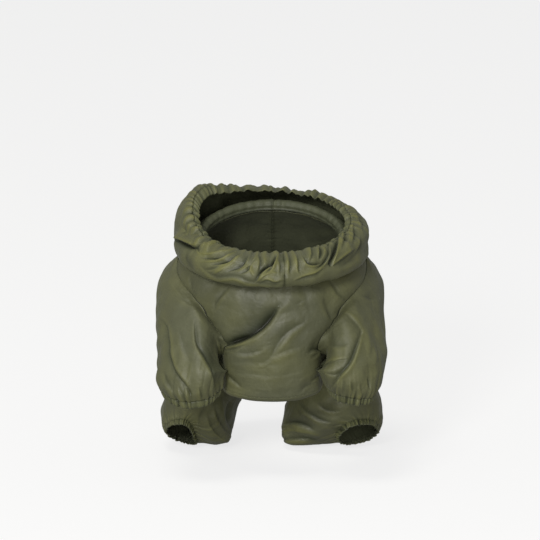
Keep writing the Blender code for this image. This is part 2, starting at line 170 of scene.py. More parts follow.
body = {
    # front y and z, back y and z, half-widths at 30 60 90 120 150 degrees, front and back seam
    "sections": np.array((
        (5, 169, 101, 202, 28, 48, 56, 48, 28, 95, 95),
        (-1, 152, 115, 191, 38, 65, 74, 65, 39, 95, 95),
        (-2, 139, 125, 182, 40, 67, 77, 69, 42, 53, 116),
        (-3, 125, 133, 171, 39, 61, 74, 70, 43, 43, 122),
        (-4, 108, 140, 159, 34, 45, 68, 70, 44, 38, 120),
        (-3, 90, 147, 147, 34, 42, 62, 67, 44, 52, 110),
        (-1, 77, 152, 139, 34, 42, 60, 65, 44, 76, 76),
        (4, 67, 157, 130, 35, 42, 58, 63, 44, 78, 78),
        (28, 58, 166, 117, 32, 50, 60, 60, 40, 82, 82),
        (54, 47, 176, 100, 32, 54, 62, 58, 37, 94, 94),
        (78, 36, 186, 81, 32, 55, 64, 58, 36, 106, 106),
        (98, 28, 194, 62, 31, 54, 62, 56, 34, 118, 118),
        (110, 24, 196, 42, 29, 50, 58, 51, 31, 130, 130),
    ), float),
    "armholeTop": 1, "armholeEnd": 6, "chestHem": 7, "legTop": 8, "tailHem": 12,
    # about how long a row and a degree are, and a row near the neck and near the two hems
    "rowLength": 15.0, "degreeLength": 1.1, "neckRow": 17.0, "chestHemRow": 11.0, "tailHemRow": 14.0,
    # the folds that the solid has as well: row, degrees, row, degrees, width, depth
    "folds": (
        (4.1, -36, 1.9, 3, 7.5, 1.8),
        (4.6, -28, 2.5, 8, 8, -1.8),
        (4.2, 37, 3.8, 24, 6, 1.6),
        (0.4, -42, 2.0, -40, 8, 1.2),
        (0.4, 44, 2.2, 36, 8, 1.2),
        (4.0, -122, 6.5, -165, 10, 2.4),
        (3.4, 124, 6.0, 166, 10, 2.4),
        (7.2, -92, 9.2, -150, 9, 2.4),
        (7.0, 95, 9.6, 148, 9, 2.4),
        # finer ones on the back and the flanks
        (1.2, -128, 2.6, -150, 5, 1.3), (1.0, 132, 2.4, 152, 5, 1.2),
        (4.8, -118, 6.2, -140, 4, 1.2), (5.2, 118, 6.6, 146, 4, 1.3),
        (5.8, -84, 7.6, -112, 5, 1.6), (6.0, 82, 7.4, 116, 5, 1.5),
        (6.8, -100, 8.2, -128, 4, 1.1), (8.4, -100, 9.8, -134, 5, 1.4),
        (8.2, 102, 10.0, 140, 5, 1.5), (9.6, -118, 11.2, -150, 6, 1.5),
        (9.8, 122, 11.4, 154, 6, 1.4), (2.6, -172, 4.4, -150, 6, 1.2),
        (3.0, 170, 4.6, 146, 6, 1.2), (7.6, -168, 9.2, -148, 6, 1.2),
        (8.0, 166, 9.4, 150, 6, 1.1), (10.4, -165, 11.8, -140, 5, 1.3),
        (10.2, 160, 11.6, 136, 5, 1.2),
    ),
    # creases of the front, on the front view's grid
    "creases": (
        (((222, 346.5), (230, 344.8), (239, 342), (249, 338.2)), 1.9, 5.2, 0.9, 0.7),
        (((229, 343.5), (241, 340.5), (253, 335), (264.5, 326.5), (273.5, 316), (278.5, 307.5)),
         3.8, 5.2, 0.9, 0.8),
        (((277, 309), (284, 302), (288, 296)), 2.6, 0.7, 0.3),
        (((227, 350), (235, 348.6), (244, 345)), 1.6, 0.9, 0.3),
        (((229, 287), (222, 294), (217, 301), (214.6, 310)), 1.9, 1.3, -0.6),
        (((190, 274), (190.5, 282), (192, 291)), 1.8, 0.6, 0.4),
        (((329, 279), (335, 287), (339, 294), (345, 301)), 2.0, 1.3, 0.5),
        (((323, 297), (327, 308), (332, 320)), 2.6, 1.0, 0.5),
        (((297, 304), (301, 301.5), (304, 301)), 1.6, 0.7, 0.2),
        (((309, 352.5), (315, 349.5), (320, 349), (325, 345)), 2.0, 2.2, 0.6),
        (((311, 358), (316, 355), (320, 351)), 1.6, 0.8, 0.3),
        (((272, 354), (278, 343), (288, 331), (304, 321)), 4.0, 1.2, 0.8),
        (((262, 362), (280, 352), (300, 346)), 4.0, 0.8, 0.6),
        (((236, 352), (250, 352), (262, 349)), 3.0, 0.8, 0.5),
        (((228, 362), (244, 361), (262, 362), (280, 366)), 3.2, 0.3, 0.2),
        (((231, 372), (250, 373), (272, 375), (300, 371)), 3.0, 0.25, 0.2),
        (((227, 373.5), (232, 379), (241, 387)), 2.2, 1.5, 0.5),
        (((312, 381), (317, 377), (321, 373)), 1.8, 1.1, 0.4),
        (((300, 392), (306, 386), (314, 383)), 2.0, 0.6, 0.3),
        (((241, 290), (244, 300), (243, 312)), 3.4, 0.5, 0.3),
        (((262, 291), (262, 298), (259, 306)), 3.0, 0.45, 0.3),
        (((300, 286), (306, 297), (309, 312)), 3.4, 0.5, 0.3),
    ),
    "unevenness": 0.35,
}
frontSeam, backSeam = 9, 10  # their columns in the sections
seams = {  # the seed of each seam's puckers, and the depth of its groove
    "armhole front": (21, 0.2), "armhole back": (22, 0.2), "centre back": (23, 0.0),
    "hood front": (24, 0.0), "hood back": (25, 0.0),
}


def sectionAt(row):
    return smooth(body["sections"], row)


def seamAt(row, which):  # the angle of the front or the back seam
    plain = np.interp(row, np.arange(len(body["sections"])), body["sections"][:, which])
    inside = (row > body["armholeTop"]) & (row < body["armholeEnd"])
    return np.where(inside, sectionAt(row)[:, which], plain)


def bodyForm(row, degrees):
    section = sectionAt(row)
    degrees = turned(degrees)
    zero = np.zeros(len(section))
    widths = section[:, 4:9].T
    knots = (-widths[0], zero, *widths, zero, -widths[-1])
    x = np.copysign(smooth(knots, np.abs(degrees) / 30 + 1, each=True), degrees)
    depth = (1 - np.cos(np.radians(degrees))) / 2
    y = section[:, 0] + (section[:, 2] - section[:, 0]) * depth
    z = section[:, 1] + (section[:, 3] - section[:, 1]) * depth
    return np.stack((x, y, z), 1)


def normalOf(form, row, degrees):
    down = form(row + 0.02, degrees) - form(row - 0.02, degrees)
    around = form(row, degrees + 0.5) - form(row, degrees - 0.5)
    return unit(np.cross(around, -down))


def bodyPoint(row, degrees, extra=0.0):
    points, normals = bodyForm(row, degrees), normalOf(bodyForm, row, degrees)
    scale = np.array((body["rowLength"], body["degreeLength"]))
    relief = foldRelief(body["folds"], scale, row, turned(degrees))
    fine = creaseRelief(body["creases"], points, normals) + extra
    relief += fine + body["unevenness"] * softNoise(points, 22, 3)
    return points + normals * relief[:, None], fine, normals


def seamDip(distance, along, seam):  # drawn in at a seam, with the puckers of its stitches
    seed, groove = seams[seam]
    pucker = 0.28 * softNoise(np.stack((along, along * 0, along * 0), 1), 5.5, seed, 6)
    pucker = pucker * np.exp(-distance / 3.5)
    return pucker - 0.8 * bell(distance, 1.3) - groove * np.exp(-distance / 0.4)


def reliefWithSeamShade(relief, fromSeam, width):  # the relief that colours the cloth, with painted shade inside a seam
    return relief * 0.6 - 2.8 * bell(fromSeam, width, 4)


def neckDip(row):  # the sewn neckline, which the hood covers
    return -0.8 * bell(row * body["neckRow"], 1.4)


def hemShape(fromHem):  # a turned hem, 5 mm deep, with its row of stitches pulled in
    turn = 0.3 * (1 / (1 + np.exp((fromHem - 5.0) * 2.5)))
    return turn - 0.35 * bell(fromHem - 4.4, 0.6)


def tailHem(row):
    return hemShape((body["tailHem"] - row) * body["tailHemRow"])


hood = {
    # front y and z, back y and z, half-width, lift of the left, slouch of the back
    "rings": np.array((
        (5.4, 169.8, 100.6, 202.8, 55.5, 0, 0),
        (6.3, 174.0, 99.7, 207.0, 54.2, 0, 0),
        (1.0, 177.0, 106.0, 209.0, 58.0, 0, 0),
        (-11, 171.5, 120.0, 200.0, 68.0, 1, 2),
        (-21, 166.5, 132.0, 188.0, 74.5, 3, 8),
        (-27, 170.5, 141.0, 189.0, 78.0, 6, 12),
        (-28.5, 178.5, 145.0, 198.0, 79.0, 10, 13),
        (-24, 186.0, 141.0, 208.0, 76.5, 14, 11),
        (-14, 190.0, 130.0, 215.0, 70.5, 16, 7),
        (-4.0, 191.0, 117.0, 218.0, 63.5, 14, 3),
        (4.0, 187.5, 106.0, 216.5, 58.0, 9, 0),
    ), float),
    "casing": 9.1, "frontSeam": 7.5,
    "liftAngle": -112, "liftSpread": 38, "slouchSpread": 52, "slouchDrop": 0.6,
    "rowLength": 9.0, "degreeLength": 1.25, "arcLength": 1.35, "casingRow": 8.0,
    "folds": (
        (5.6, -93, 9.0, -56, 4, 3.6),
        (6.0, 108, 9.0, 128, 7, 2.0),
        (4.6, -152, 8.4, -136, 7, 4.5),
        (4.4, 146, 8.6, 162, 7, 4.5),
        (5.0, 178, 8.0, -170, 6, 3.0),
    ),
    "creases": (
        # the overlap of the upper left fold
        (((172, 238), (179, 241.2), (185, 243.6), (191, 245), (198, 243.6)), 1.8, 4.0, -1.2, 0.55),
        (((198, 243.6), (205, 241.6), (213, 240.8), (221, 240.6)), 1.8, 1.5, 0.6),
        (((192, 230.4), (200, 231.2), (210, 231)), 1.5, 1.0, 0.4),
        (((200, 219), (203, 222), (206, 226)), 1.6, 0.9, 0.3),
        (((188, 213), (197, 212), (206, 214)), 2.2, 0.7, 0.3),
        (((186, 222), (195, 223.5), (204, 224)), 2.4, 0.7, 0.3),
        (((211, 241), (213.5, 238), (216, 235)), 1.5, 1.2, 0.4),
        # gathers from the face edge, left to right: valleys, and ridges of depth below 0
        (((196, 244), (197.5, 248.5), (199.5, 252.5)), 1.5, 1.0, 0.8),
        (((192, 244.2), (204, 242.4), (218, 242.4)), 1.3, -0.8, 0.1),
        (((197, 246), (199, 250.5), (201, 252.6), (213, 252.4), (226, 250.6), (234, 249)), 1.1, -1.1, 0.1),
        (((201, 258), (212, 257.4), (224, 254.8), (235, 251.4)), 1.3, 1.8, 0.5),
        (((201, 262), (212, 261.2), (222, 257.4), (230, 254.2), (238, 250.6)), 1.1, -1.3, 0.1),
        (((212, 264.6), (221, 262.2), (230, 258.4), (240, 253.6)), 1.3, 2.4, 0.6),
        (((214, 274), (219, 270.6), (226, 265.4), (233, 260.6), (239, 256)), 2.2, -1.3, 0.2),
        (((206, 270), (212, 268.6), (218, 266)), 1.5, 0.9, 0.3),
        (((228, 271.5), (236, 267.5), (244, 261), (249, 254.4)), 1.6, 1.7, 0.4),
        (((238, 271.5), (246, 266), (252, 261.5), (257, 256)), 1.0, -1.3, 0.1),
        (((240, 274), (247, 270), (250, 263.6), (256, 258.4)), 1.2, 1.5, 0.5),
        (((249.4, 262), (250.8, 270), (254, 276)), 1.6, -1.0, 0.1),
        (((256, 281), (258.8, 275.4), (262.2, 269.6), (268, 264.6), (273, 261.6), (277, 255)),
         1.5, 3.0, 1.2),
        (((259, 254), (260.6, 261), (258, 270)), 1.1, 1.5, 0.5),
        (((264, 256), (265, 260.5), (263, 265)), 1.1, -0.9, 0.1),
        (((267, 271.6), (271, 266.8), (274, 260.6), (276, 256)), 1.2, 1.8, 0.6),
        (((258, 281.6), (264, 275.6), (271, 272.4), (277, 272.8)), 1.3, -1.2, 0.2),
        (((260, 284), (267, 281), (275, 283.4), (282, 281)), 1.5, 1.0, -0.7),
        (((279, 258), (281, 265), (280, 274)), 1.4, 1.1, 0.5),
        (((284, 262), (285, 268), (284, 276)), 1.2, -0.6, 0.1),
        (((289, 256), (291, 264), (290, 273)), 1.4, 1.2, 0.5),
        (((297, 255), (299, 263), (300.5, 273)), 1.5, 1.0, 1.0),
        (((303, 257), (308, 262), (314, 263.6), (321, 262.4)), 1.4, 1.9, 0.8),
        (((311, 247), (312, 254), (310, 260)), 1.3, 1.5, 0.5),
        (((319.6, 245), (320, 252), (319.2, 258)), 1.3, 2.1, 0.7),
        (((323.6, 244), (324, 252), (321, 260)), 1.1, -0.9, 0.1),
        (((327.8, 243), (328, 253), (325, 262), (318, 268.6)), 1.3, 1.8, -0.9),
        (((296, 281), (306, 277.4), (316, 274.4), (325, 269)), 1.5, 1.1, -1.0),
        (((338, 235), (335.6, 247), (332.4, 259), (333, 266)), 1.7, 3.6, -1.2),
        (((335, 266), (345, 258.5), (356, 249)), 1.7, 1.1, -1.0),
        (((345, 229), (344.5, 238), (342, 247)), 1.6, 1.6, 0.6),
        (((349, 228), (349, 237), (347, 245)), 1.3, -0.8, 0.1),
        (((353.5, 225), (354.5, 234), (352.5, 244)), 1.7, 1.4, 0.5),
        (((361, 237), (361, 245), (358.5, 252)), 1.6, 1.2, 0.4),
        (((357, 212), (361, 221), (363, 230)), 1.8, 1.2, 0.4),
        # the smooth band under the roll
        (((201, 266), (216, 276.5), (236, 276), (251, 281.5), (276, 285)), 2.2, 0.7, 0.7),
        (((186, 252), (188, 262), (195, 270)), 2.6, 0.7, 0.4),
        (((340, 268), (352, 261), (362, 251)), 2.6, 0.6, 0.4),
    ),
    # gathers from the casing and across a row: height at the front, height at the back, length
    # in rows, how many, seed, lean and crispness
    "casingGathers": ((1.5, 1.5, 1.4, 62, 11, 0.0, 0.75), (0.95, 1.9, 2.6, 30, 12, 0.5, 0.6)),
    "rowGathers": {6.2: (0.0, 1.5, 1.9, 17, 13, 0.8, 0.4), 1.2: (0.9, 0.9, 1.3, 43, 14, 0.0, 0.5)},
    "unevenness": 0.4,
}


def hoodForm(row, degrees):
    ring = smooth(hood["rings"], row)
    degrees = turned(degrees)
    a = np.radians(degrees)
    depth = (1 - np.cos(a)) / 2
    lift = ring[:, 5] * bell(degrees - hood["liftAngle"], hood["liftSpread"])
    slouch = ring[:, 6] * bell(180 - np.abs(degrees), hood["slouchSpread"])
    y = ring[:, 0] + (ring[:, 2] - ring[:, 0]) * depth + slouch
    z = ring[:, 1] + (ring[:, 3] - ring[:, 1]) * depth + lift - hood["slouchDrop"] * slouch
    return np.stack((ring[:, 4] * np.sin(a), y, z), 1)


def hoodPoint(row, degrees, extra=0.0):
    points, normals = hoodForm(row, degrees), -normalOf(hoodForm, row, degrees)
    degrees = turned(degrees)
    scale = np.array((hood["rowLength"], hood["degreeLength"]))
    relief = foldRelief(hood["folds"], scale, row, degrees)
    fine = 1.2 * creaseRelief(hood["creases"], points, normals) + extra
    hidden = np.clip((np.abs(degrees) - 70) / 40, 0, 1)  # the front has creases of its own

    def gathered(fromRow, front, back, *shape):
        return (front + (back - front) * hidden) * gathers(degrees, fromRow, *shape)

    for shape in hood["casingGathers"]:
        fine += gathered(hood["casing"] - row, *shape)
    for middle, shape in hood["rowGathers"].items():
        fine += gathered(np.abs(row - middle), *shape)
    relief += fine + hood["unevenness"] * softNoise(points, 24, 5) * np.clip(row - 1.5, 0, 1)
    return points + normals * relief[:, None], fine, normals


armpitFolds = (  # the swell of a sleeve towards the chest, which closes the armpit
    (1.1, 204, 3.0, 190, 13, -11), (1.2, 178, 2.6, 162, 14, -9), (2.3, 140, 3.1, 150, 11, -2.5),
    (0.7, 152, 1.7, 148, 14, -8.5),
)
limbs = {
    # outer, front, inner and back points of each ring, X outwards, and how much is gathered
    "sleeveLeft": {
        "rings": (
            ((86, 50, 152), (50, 5, 128), (55, 48, 98), (80, 92, 140), 0),
            ((91, 34, 126), (56, -9, 115), (49, 31, 96), (78, 68, 119), 0),
            ((92, 18, 101), (60, -19, 99), (42, 9, 94), (70, 46, 102), 0.3),
            ((91.5, 10, 84), (64, -20, 80), (39, 7, 86), (65, 36, 88), 0.7),
            ((88.5, 9, 76.5), (63, -15.5, 71.5), (41, 8, 79), (65, 33, 81), 0.9),
            ((86.5, 9, 71), (62.5, -14, 65.5), (42.5, 8, 73), (64.5, 31, 75.5), 0.7),
        ),
        "folds": (
            (1.0, 46, 3.9, 88, 5, 1.4), (0.9, 118, 3.8, 146, 5, 1.6),
            (2.0, 20, 3.6, -8, 5, 2.0), (1.4, 262, 4.0, 250, 6, 2.0),
            (0.8, 300, 2.8, 322, 5, 1.4), (1.0, 340, 3.0, 352, 5, 1.2),
            (0.6, 225, 2.4, 236, 5, 1.3), (1.2, 196, 3.4, 205, 5, 1.4),
            *armpitFolds,
        ),
        "creases": (
            (((161, 319), (167, 329), (168.6, 342), (170, 356), (175, 370), (185, 384), (191, 394)),
             2.1, 2.3, -0.9),
            (((195.5, 322), (198, 343), (207, 358), (213.5, 372), (216, 386)), 2.3, 2.6, 0.8),
            (((208, 346), (213, 358), (219, 371), (220, 384)), 2.6, 1.3, -0.4),
            (((164, 372), (167, 381), (172, 390)), 1.8, 1.3, 0.5),
            (((219, 338), (221.5, 345), (222.5, 353)), 1.7, 1.8, 0.4),
            (((180, 330), (184, 346), (190, 360)), 3.0, 0.6, 0.4),
            (((176, 296), (184, 299), (193, 305)), 2.4, 0.6, 0.3),
            (((172, 283), (180, 290), (186, 300)), 2.2, 0.5, 0.3),
            (((196, 306), (203, 316), (211, 326)), 2.4, 0.6, 0.3),
            (((186, 384), (190, 391), (193, 399)), 1.6, 1.2, 0.4),
            (((200, 386), (202, 393), (203, 400)), 1.5, 1.1, 0.4),
            (((179, 386), (182, 393), (185, 399)), 1.4, 1.0, 0.4),
        ),
        "from": "armhole", "side": -1, "narrowing": 1.0, "waves": 12, "seed": 31,
    },
    "sleeveRight": {
        "rings": (
            ((84, 50, 149), (50, 5, 128), (55, 48, 98), (80, 92, 140), 0),
            ((87, 34, 127), (56, -8, 116), (49, 31, 96), (78, 68, 119), 0),
            ((91.5, 18, 104), (60, -18, 101), (42, 9, 95), (70, 46, 104), 0.3),
            ((88, 10, 83), (62, -18, 84), (40, 8, 88), (65, 36, 90), 0.7),
            ((83.5, 9, 74), (61.5, -13, 74), (44, 9, 80), (64, 31, 82), 0.9),
            ((82, 9, 68.5), (61, -11, 68), (46, 9, 74), (63, 29, 76), 0.7),
        ),
        "folds": (
            (1.0, 90, 3.7, 106, 5, 1.4), (1.2, 140, 3.6, 152, 5, 1.2),
            (1.8, 30, 3.4, 4, 5, 1.8), (1.4, 258, 4.0, 246, 6, 2.0),
            (0.8, 304, 2.6, 326, 5, 1.4), (1.1, 344, 3.1, 356, 5, 1.2),
            (0.7, 222, 2.5, 232, 5, 1.3), (1.2, 196, 3.3, 204, 5, 1.4),
            *armpitFolds,
        ),
        "creases": (
            (((361, 331), (356, 345), (349, 362), (338, 375), (331, 386)), 2.3, 3.0, -1.2),
            (((346, 314), (354, 322), (361, 331)), 2.6, 1.2, -0.8),
            (((330, 343), (339, 345), (348, 343)), 2.4, 0.9, 0.5),
            (((325, 361), (335, 361), (347, 359)), 2.2, 1.1, -0.9),
            (((328, 372), (334, 374), (339, 371)), 2.0, 0.8, 0.4),
            (((351, 381), (352, 387), (353.5, 393)), 1.5, 1.4, 0.5),
            (((360, 383), (361, 388), (361.5, 393)), 1.4, 1.1, 0.4),
            (((367, 377), (368.5, 383), (369, 389)), 1.5, 1.4, 0.5),
            (((343, 378), (343, 386), (342, 394)), 1.6, 1.2, 0.4),
            (((336, 380), (335, 388), (335, 394)), 1.5, 1.1, -0.4),
            (((363, 295), (369, 297.5), (375, 299)), 2.2, 0.9, 0.4),
            (((352, 296), (358, 305), (362, 316)), 2.8, 0.5, 0.3),
            (((369, 330), (372, 342), (370, 358)), 3.0, 0.8, 0.4),
            (((376, 340), (378, 352), (376, 366)), 2.2, 0.7, 0.3),
        ),
        "from": "armhole", "side": 1, "narrowing": 1.0, "waves": 12, "seed": 41,
    },
    "hind": {
        "rings": (
            ((75, 139, 56), (62, 80, 68), (11, 124, 34), (46, 188, 29), 0),
            ((88, 134, 37), (61, 77, 52), (12, 116, 19), (50, 182, 13), 0.2),
            ((89, 120, 24), (67, 82, 41), (28, 102, 10), (57, 146, 5), 0.5),
            ((87, 106, 19), (71, 85, 33), (51, 95, 17.5), (65, 115, 5.5), 0.7),
            ((86, 100, 18), (72, 80.5, 29.5), (54, 89, 17), (66, 107.5, 6), 0.6),
        ),
        "folds": (
            (0.6, 60, 2.6, 120, 6, 2.0), (0.8, 20, 2.8, -20, 7, 1.8), (1.0, 285, 2.4, 240, 7, 1.8),
            (0.3, 90, 2.2, 100, 5, 1.4), (0.4, 40, 2.0, 62, 5, 1.2), (0.5, 330, 2.4, 348, 6, 1.6),
            (0.4, 305, 2.0, 316, 6, 1.2), (0.4, 140, 2.4, 118, 5, 1.6), (0.5, 168, 2.2, 140, 6, 1.4),
            (1.8, 70, 2.9, 78, 3.5, 1.2), (1.6, 10, 2.9, 24, 4, 1.2), (1.8, 130, 2.8, 118, 4, 1.2),
        ),
        "creases": (
            (((286, 424.5), (294, 423.4), (304, 426), (314, 431)), 2.4, 2.6, 0.8),
            (((284, 431), (296, 431), (312, 434.6), (330, 440)), 1.7, -1.2, 0.1),
            (((283, 436), (300, 438), (318, 441), (334, 443.4)), 1.6, 2.2, 0.7),
            (((282, 441), (300, 443), (325, 446)), 1.5, -0.9, 0.1),
            (((298, 406), (308, 414), (322, 421), (336, 424)), 2.4, 1.8, 0.7),
            (((316, 404), (326, 410), (340, 412)), 2.2, 1.4, 0.5),
            (((330, 428), (340, 431), (348, 430)), 1.8, 1.4, 0.5),
            (((231, 402), (227, 412), (228, 424), (232, 434)), 2.0, 1.8, 0.6),
            (((216, 408), (219, 420), (226, 434)), 1.9, 1.8, 0.6),
            (((208, 414), (212, 428), (221, 440)), 1.7, 1.4, 0.5),
            (((214, 436), (223, 441), (231, 441)), 1.5, -0.9, 0.1),
            (((206, 404), (200, 416), (198, 428)), 2.0, 1.2, 0.4),
        ),
        "from": "flank", "waves": 9,
    },
}
limbs["hindLeft"] = {**limbs["hind"], "side": -1, "narrowing": 0.72, "seed": 51}
limbs["hindRight"] = {**limbs["hind"], "side": 1, "narrowing": 1.0, "seed": 61}
limbs["hindLeft"]["folds"] += ((2.2, 186, 3.0, 178, 8, -4.5), (1.4, 262, 2.2, 215, 5, 1.6))
limbs["hindRight"]["folds"] += ((2.1, 188, 3.0, 180, 9, -9.0), (1.4, 262, 2.2, 215, 5, 1.6))
# about how long a row is at the root, at the cuff and between them, and a degree of each
limbScale = {"rootRow": 25, "cuffRow": 9, "row": 20.0, "degree": 0.5}
coverCut = {"row": 20.0, "degree": 0.52}  # the same on the flat cloth of a cover and of a cuff
cuffCut = {"row": 8.0, "degree": 0.45}
cuffGathers = ((1.5, 0.55, 34, 0.0), (1.3, 1.2, 19, 0.6))  # height, length in rows, how many, lean
seatHeight = 1.7  # where the cloth lies on the ground
hindInnerEdge = np.array((15.0, 128.0, 41.0))


def ringPoint(ring, degrees, narrowing):
    outer, front, inner, back = (np.array(point, float) for point in ring[:4])
    inner[0] = outer[0] - (outer[0] - inner[0]) * narrowing
    a = np.radians(degrees)[:, None]
    centre = (outer + front + inner + back) / 4
    oval = (outer - inner) / 2 * np.cos(a) + (front - back) / 2 * np.sin(a)
    skew = (outer + inner - front - back) / 4
    return centre + oval + skew * np.cos(2 * a)


def armholeRoot(limb, degrees):
    # the armhole's edge at each angle, X outwards, and the way in which the sleeve leaves it
    top, end, mirror = body["armholeTop"], body["armholeEnd"], np.array((limb["side"], 1, 1))

    def edge(angles):
        turn = angles % 360 / 180
        front = turn < 1
        row = np.interp(turn, (0, 1, 2), (top, end, top))
        seam = np.where(front, seamAt(row, frontSeam), seamAt(row, backSeam))
        dips = [seamDip(0 * row, row * body["rowLength"], "armhole " + half) for half in ("front", "back")]
        return row, seam, bodyPoint(row, limb["side"] * seam, np.where(front, *dips))[0] * mirror

    centre = edge(np.arange(0, 360, 15.0))[2].mean(0)
    row, seam, points = edge(degrees)
    normals = normalOf(bodyForm, row, seam)
    inwards = centre - points
    inwards = unit(inwards - normals * (inwards * normals).sum(1, keepdims=True))
    topShare = 0.5 + 0.5 * np.cos(np.radians(degrees))
    return points, unit(normals + inwards * (0.25 + 0.65 * topShare)[:, None]), centre


def flankRoot(limb, degrees):
    # along the back's seam from the tail to the flank, then round the open belly
    side, narrowing = limb["side"], limb["narrowing"]

    def seam(turn):
        row = body["tailHem"] + (body["legTop"] - body["tailHem"]) * turn
        angle = seamAt(row, backSeam)
        dip = seamDip(0 * row, row * body["rowLength"], "armhole back") + tailHem(row)
        point = bodyPoint(row, side * angle, dip)[0] * np.array((side, 1, 1))
        ahead = bodyForm(row, angle - 4) - bodyForm(row, angle)
        return point, unit(unit(ahead) + 0.5 * normalOf(bodyForm, row, angle))

    (back, front), _ = seam(np.array((0.0, 1.0)))
    middle = (front + back) / 2
    inner = hindInnerEdge.copy()
    inner[0] = middle[0] - (middle[0] - inner[0]) * narrowing
    angles = degrees % 360
    a = np.radians(angles)[:, None]
    belly = middle + (front - back) / 2 * np.sin(a) - (inner - middle) * np.cos(a)
    onSeam = (angles <= 90) | (angles >= 270)
    seamPoints, seamLeads = seam(((angles + 90) % 360).clip(0, 180) / 180)
    points = np.where(onSeam[:, None], seamPoints, belly)
    straight = unit(ringPoint(limb["rings"][0], degrees, narrowing) - points)
    share = np.clip((np.abs(turned(angles)) - 78) / 24, 0, 1)[:, None]
    return points, unit(seamLeads * (1 - share) + straight * share), points.mean(0)


roots = {"armhole": armholeRoot, "flank": flankRoot}


def limbPoint(limb, row, degrees, extra=0.0):
    points, leads, rootCentre = roots[limb["from"]](limb, degrees)
    narrowing, seed, mirror = limb["narrowing"], limb["seed"], np.array((limb["side"], 1, 1))
    begin = points + leads * 0.03
    rings = [ringPoint(ring, degrees, narrowing) for ring in limb["rings"]]
    pull = 0.5 * np.linalg.norm(rings[0] - begin, axis=1, keepdims=True)
    spot = smooth([rings[0] - 2 * pull * leads, begin, *rings], row + 1, each=True)
    quarters = np.arange(0, 360, 90.0)
    centres = [ringPoint(ring, quarters, narrowing).mean(0) for ring in limb["rings"]]
    outwards = unit(spot - smooth([rootCentre, *centres], row))
    place, facing = spot * mirror, outwards * mirror
    fromEdge = len(rings) - 1 - row
    gather = smooth([0.0, *(ring[4] for ring in limb["rings"])], row)
    scale = np.array((limbScale["row"], limbScale["degree"]))
    relief = gather * gathers(degrees, 0 * row, 1, limb["waves"], seed)
    relief += foldRelief(limb["folds"], scale, row, degrees) * np.minimum(row, 1)
    relief += 0.4 * softNoise(place, 20, seed + 3) * np.clip(row * 2, 0, 1)
    fine = creaseRelief(limb["creases"], place, facing) * np.clip(row * 2, 0, 1) + extra
    for i, (height, length, count, lean) in enumerate(cuffGathers, 1):
        fine += height * gathers(degrees, fromEdge, length, count, seed + i, lean)
    points = place + facing * (relief + fine)[:, None]
    height = points[:, 2]
    pressed = seatHeight + 2 * np.exp((height - seatHeight) / 2 - 1)  # flattened by the ground
    points[:, 2] = np.where(height < seatHeight + 2, pressed, height)
    return points, fine, facing


def link(tree, start, end):
    tree.links.new(start, end)


def node(tree, kind, inputs=None, **settings):
    made = tree.nodes.new(kind)
    for name, value in settings.items():
        setattr(made, name, value)
    for name, value in (inputs or {}).items():
        if isinstance(value, bpy.types.NodeSocket):
            link(tree, value, made.inputs[name])
        else:
            made.inputs[name].default_value = value
    return made


def times(tree, a, b):
    return node(tree, "ShaderNodeMath", {0: a, 1: b}, operation="MULTIPLY").outputs[0]


def plus(tree, a, b):
    return node(tree, "ShaderNodeMath", {0: a, 1: b}, operation="ADD").outputs[0]


def remap(tree, value, low, high, toLow, toHigh):
    inputs = {"Value": value, "From Min": low, "From Max": high, "To Min": toLow, "To Max": toHigh}
    return node(tree, "ShaderNodeMapRange", inputs).outputs["Result"]


def blendColours(tree, factor, a, b, how="MIX"):
    inputs = {0: factor, 6: a, 7: b}
    return node(tree, "ShaderNodeMix", inputs, data_type="RGBA", blend_type=how).outputs[2]


def noise(tree, place, scale, detail, distortion=0.0, kind="FBM"):
    inputs = {"Vector": place, "Scale": scale, "Detail": detail, "Distortion": distortion}
    return node(tree, "ShaderNodeTexNoise", inputs, noise_type=kind).outputs["Fac"]


def bands(tree, place, scale, distortion, direction):
    inputs = {"Vector": place, "Scale": scale, "Distortion": distortion}
    return node(tree, "ShaderNodeTexWave", inputs, bands_direction=direction).outputs["Fac"]


